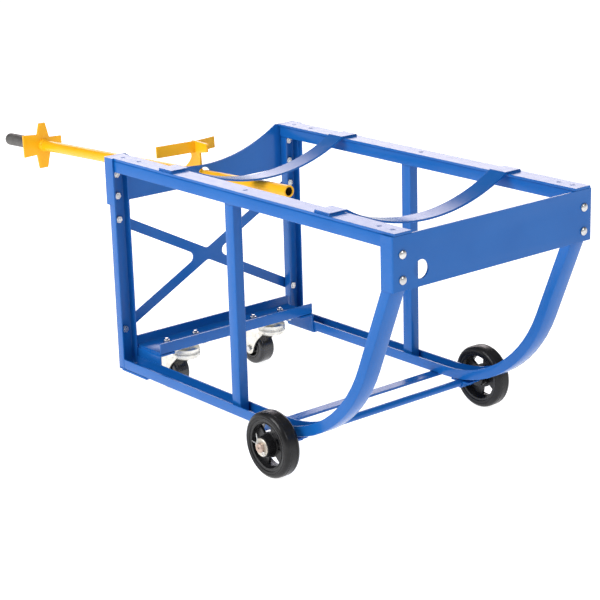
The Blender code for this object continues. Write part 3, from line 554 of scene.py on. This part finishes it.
def build_caster(side):
    swivel = JOINTS[f"caster_{side}_swivel"]
    spin = JOINTS[f"caster_wheel_{side}_spin"]
    pivot = Vector(swivel["pos_m"])
    hub = Vector(spin["pos_m"])
    axis = Vector(spin["axis"])
    mount_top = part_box(f"caster_mount_{side}")[1].z
    fork_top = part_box(f"caster_fork_{side}")[1].z
    outer = hub.z - 0.2 * MM
    core_low, core_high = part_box(f"caster_core_{side}")
    inner = (core_high.z - core_low.z) / 2 + 0.1 * MM
    half = CASTER_HALF_WIDTH
    wheel = f"caster_wheel_{side}"
    bm = bmesh.new()
    revolve(bm, tyre_profile(outer, inner, half, 8 * MM, inner + 4.5 * MM), hub, axis, 96, True)
    piece(f"caster_tread_{side}", bm, CASTER_BLACK, wheel, (f"caster_tyre_{side}",))
    bm = bmesh.new()
    web = inner - 0.3 * MM
    profile = [
        (6.0 * MM, half + 2 * MM), (10.5 * MM, half + 2 * MM), (11 * MM, half + 1.5 * MM),
        (11.6 * MM, half * 0.62), (13 * MM, half * 0.52), (web - 6 * MM, half * 0.46),
        (web - 4.6 * MM, half * 0.56), (web - 4 * MM, half - 0.8 * MM), (web - 3.2 * MM, half),
        (web, half),
    ]
    mirrored = [(radius, -along) for radius, along in reversed(profile)]
    revolve(bm, profile + mirrored, hub, axis, 72, True)
    piece(f"caster_hub_{side}", bm, CASTER_BLACK, wheel, (f"caster_core_{side}",))
    bm = bmesh.new()
    shaft = [
        (0, -CASTER_FORK_REACH), (4.9 * MM, -CASTER_FORK_REACH), (4.9 * MM, CASTER_FORK_REACH),
        (0, CASTER_FORK_REACH),
    ]
    revolve(bm, shaft, hub, axis, 32)
    hexagon(bm, hub - axis * CASTER_FORK_REACH, -axis, 8.0 * MM, 5 * MM)
    hexagon(bm, hub + axis * CASTER_FORK_REACH, axis, 8.0 * MM, 5 * MM)
    tip = [(4.4 * MM, 0), (4.4 * MM, 5.6 * MM), (3.8 * MM, 6 * MM), (0, 6 * MM)]
    revolve(bm, tip, hub + axis * CASTER_FORK_REACH, axis, 24)
    swivelling = f"caster_{side}"
    piece(
        f"caster_bolt_{side}", bm, BOLT_ZINC, swivelling, (f"caster_axle_{side}",))
    bm = bmesh.new()
    seat = Vector((pivot.x, pivot.y, fork_top + 1.2 * MM))
    lip = arc((RACE_RADIUS - 1.0 * MM, 2.2 * MM), 1.6 * MM, -90, 90, 8)
    revolve(bm, lip, seat, (0, 0, 1), 72)
    piece(f"race_lip_{side}", bm, ZINC, "frame")
    bm = bmesh.new()
    lower_lip = arc((RACE_RADIUS - 1.0 * MM, -2.6 * MM), 1.6 * MM, -90, 90, 8)
    revolve(bm, lower_lip, Vector((pivot.x, pivot.y, fork_top)), (0, 0, 1), 72)
    piece(f"fork_lip_{side}", bm, ZINC, f"caster_{side}")
    # Dark balls and cage between the races: grease on the balls, and painted shade of the gap between
    # the races.
    bm = bmesh.new()
    for i in range(22):
        turn = 2 * math.pi * i / 22
        ball = Vector((math.cos(turn), math.sin(turn), 0)) * (RACE_RADIUS - 4.4 * MM)
        where = Vector((pivot.x, pivot.y, fork_top + 0.6 * MM)) + ball
        spot = Matrix.Translation(where)
        bmesh.ops.create_icosphere(bm, subdivisions=2, radius=2.6 * MM, matrix=spot)
    cage_inner = RACE_RADIUS - 3.4 * MM
    cage = [(cage_inner, -0.3 * MM), (RACE_RADIUS - 1.2 * MM, 0.0), (cage_inner, 0.3 * MM)]
    revolve(bm, cage, Vector((pivot.x, pivot.y, fork_top + 0.6 * MM)), (0, 0, 1), 72)
    piece(f"race_balls_{side}", bm, GREASE_AND_PAINTED_SHADE, "frame")
    build_mount_nuts(side, pivot, mount_top)


def build_mount_nuts(side, pivot, top):
    """Hexagon nuts and round tips on the four caster plate bolts."""
    bm = bmesh.new()
    beam_floor = top - MOUNT_STUD_HEIGHT
    for dx in (-MOUNT_BOLT_X, MOUNT_BOLT_X):
        for dy in (-MOUNT_BOLT_Y, MOUNT_BOLT_Y):
            base = Vector((pivot.x + dx, pivot.y + dy, beam_floor))
            hexagon(bm, base, (0, 0, 1), 9.0 * MM, 7.2 * MM)
            tip = [(4.6 * MM, 6 * MM), (4.6 * MM, 11 * MM), (4.0 * MM, 12.4 * MM), (0, 12.6 * MM)]
            revolve(bm, tip, base, (0, 0, 1), 20)
    piece(f"mount_nuts_{side}", bm, BOLT_ZINC, "frame")


# Lever -------------------------------------------------------------------------------------

LEVER_AXIS = Vector(JOINTS["lever_slide"]["axis"]).normalized()
TUBE_MIDDLE = middle("lever_tube")


def lever_point(x):
    """Point of the lever's centre line at this X."""
    return TUBE_MIDDLE + LEVER_AXIS * ((x - TUBE_MIDDLE.x) / LEVER_AXIS.x)


def build_grip():
    low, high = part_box("lever_grip")
    end = lever_point(low.x + 0.3 * MM)
    start = lever_point(high.x - 1.2 * MM)
    length = (start - end).length
    cap_centre = (GRIP_RADIUS - GRIP_CAP_RADIUS, GRIP_CAP_RADIUS)
    profile = [(0, 0), *arc(cap_centre, GRIP_CAP_RADIUS, -90, 0, 8)]
    groove = GRIP_RADIUS - GRIP_GROOVE_DEPTH
    for i in range(GRIP_GROOVES):
        along = 20 * MM + (length - 34 * MM) * i / (GRIP_GROOVES - 1)
        profile += [
            (GRIP_RADIUS, along - 2.2 * MM), (groove, along - 1.2 * MM),
            (groove, along + 1.2 * MM), (GRIP_RADIUS, along + 2.2 * MM),
        ]
    profile += [
        (GRIP_RADIUS, length - 1.5 * MM), (GRIP_RADIUS - 1.2 * MM, length), (TUBE_RADIUS, length),
    ]
    bm = bmesh.new()
    revolve(bm, profile, end, LEVER_AXIS, 72)
    piece("grip", bm, GRIP, "lever", ("lever_grip",))


def build_lever_details():
    star_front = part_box("lever_star")[1].x
    collar_face = lever_point(star_front - 0.4 * MM)
    bm = bmesh.new()
    dome = arc((TUBE_RADIUS, 0), 1.0, 0, 90, 8)
    profile = [(TUBE_RADIUS + 3.0 * MM * (x - TUBE_RADIUS), 4 * MM * z) for x, z in dome]
    revolve(bm, profile, collar_face, LEVER_AXIS, 64)
    piece("star_collar", bm, YELLOW, "lever")
    hook_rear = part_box("lever_hook")[0].x
    foot = [lever_point(hook_rear + along) for along in HOOK_WELD_SPAN]
    bm = bmesh.new()
    up = Vector((0, 1, 0)).cross(LEVER_AXIS) * -1
    for y in (-HOOK_WELD_Y, HOOK_WELD_Y):
        lift = up * (TUBE_RADIUS - 0.6 * MM) + Vector((0, y, 0))
        bead(bm, foot[0] + lift, foot[1] + lift, HOOK_BEAD)
    piece("hook_welds", bm, YELLOW, "lever")
    # A dark liner inside the tube's open end, as painted shade of the tube's hollow inside.
    inner_end = lever_point(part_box("lever_tube")[1].x - 0.7 * MM)
    liner_radius = TUBE_BORE_RADIUS - 0.8 * MM
    bm = bmesh.new()
    liner = [
        (TUBE_BORE_RADIUS - 0.1 * MM, -2.5 * MM), (liner_radius, -4 * MM),
        (liner_radius, -TUBE_BORE_DEPTH), (0, -TUBE_BORE_DEPTH),
    ]
    revolve(bm, liner, inner_end, LEVER_AXIS, 48)
    piece("tube_bore_painted_shade", bm, GREASE_AND_PAINTED_SHADE, "lever")


# Studio ------------------------------------------------------------------------------------

def build_floor():
    bm = bmesh.new()
    bmesh.ops.create_grid(bm, x_segments=4, y_segments=4, size=FLOOR_HALF_SIZE)
    mesh = bpy.data.meshes.new("floor")
    bm.to_mesh(mesh)
    bm.free()
    paper = bpy.data.materials.new("studio_paper")
    paper.use_nodes = True
    shader = paper.node_tree.nodes["Principled BSDF"]
    shader.inputs["Base Color"].default_value = (0.6, 0.6, 0.6, 1)
    shader.inputs["Roughness"].default_value = 0.8
    shader.inputs["Specular IOR Level"].default_value = 0.2
    shader.inputs["Emission Color"].default_value = (1, 1, 1, 1)
    shader.inputs["Emission Strength"].default_value = 0.92
    mesh.materials.append(paper)
    floor = bpy.data.objects.new("floor", mesh)
    bpy.context.scene.collection.objects.link(floor)


def direction(azimuth, elevation):
    """From the object towards a place in the studio; azimuth 0 is -Y and 90 is +X."""
    turn = math.radians(azimuth)
    rise = math.radians(elevation)
    level = math.cos(rise)
    return Vector((math.sin(turn) * level, -math.cos(turn) * level, math.sin(rise)))


def build_light(name, azimuth, elevation, distance, size, power, colour=(1.0, 1.0, 1.0)):
    light = bpy.data.lights.new(name, "AREA")
    light.shape = "RECTANGLE"
    light.size, light.size_y = size
    light.energy = power
    light.color = colour
    obj = bpy.data.objects.new(name, light)
    towards = direction(azimuth, elevation)
    obj.location = Vector(LIGHT_TARGET) + towards * distance
    obj.rotation_euler = towards.to_track_quat("Z", "Y").to_euler()
    bpy.context.scene.collection.objects.link(obj)


def build_studio():
    world = bpy.data.worlds.new("studio")
    world.use_nodes = True
    tree = world.node_tree
    place = tree.nodes.new("ShaderNodeTexCoord")
    split = tree.nodes.new("ShaderNodeSeparateXYZ")
    ramp = tree.nodes.new("ShaderNodeValToRGB")
    ramp.color_ramp.elements[0].position = 0.12
    ramp.color_ramp.elements[0].color = (0.75, 0.75, 0.75, 1)
    ramp.color_ramp.elements[1].position = 1.0
    ramp.color_ramp.elements[1].color = (0.5, 0.5, 0.5, 1)
    for position, grey in ((0.3, 0.14), (0.7, 0.1)):
        ramp.color_ramp.elements.new(position).color = (grey, grey, grey, 1)
    tree.links.new(place.outputs["Generated"], split.inputs["Vector"])
    tree.links.new(split.outputs["Z"], ramp.inputs["Fac"])
    tree.links.new(ramp.outputs["Color"], tree.nodes["Background"].inputs["Color"])
    bpy.context.scene.world = world
    build_light("key", 350, 34, 4.0, (2.4, 2.0), 120)
    build_light("back", 232, 22, 4.5, (4.5, 1.8), 78, (1.0, 0.91, 0.93))
    build_light("fill", 95, 35, 4.5, (2.0, 2.0), 45)
    bpy.context.scene.view_settings.view_transform = "Standard"


def build_camera():
    back = direction(CAMERA_AZIMUTH, CAMERA_ELEVATION)
    right = Vector((0, 0, 1)).cross(back).normalized()
    up = back.cross(right)
    roll = Matrix.Rotation(math.radians(CAMERA_ROLL), 3, back)
    turn = roll @ Matrix((right, up, back)).transposed()
    data = bpy.data.cameras.new("camera")
    data.lens = CAMERA_LENS
    data.sensor_width = 36
    data.clip_end = 100
    camera = bpy.data.objects.new("camera", data)
    rear_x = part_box("rear_plate")[0].x
    place = Vector((rear_x, 0, 0)) + Vector(CAMERA_FROM_REAR)
    camera.matrix_world = Matrix.Translation(place) @ turn.to_4x4()
    bpy.context.scene.collection.objects.link(camera)
    bpy.context.scene.camera = camera


dress_frame()
build_saddle_welds()
build_plug_welds()
for hand, way in SIDES:
    build_post_welds(hand, way)
    build_bracket_welds(hand, way)
    build_wheel(hand, way)
    build_axle_end(hand, way)
    build_caster(hand)
    for row in ("upper", "lower"):
        build_bolt(f"front_bolt_{hand}_{row}", 1)
        build_bolt(f"rear_bolt_{hand}_{row}", -1)
        build_bolt(f"brace_bolt_{hand}_{row}", -1)
build_grip()
build_lever_details()
build_floor()
build_studio()
build_camera()
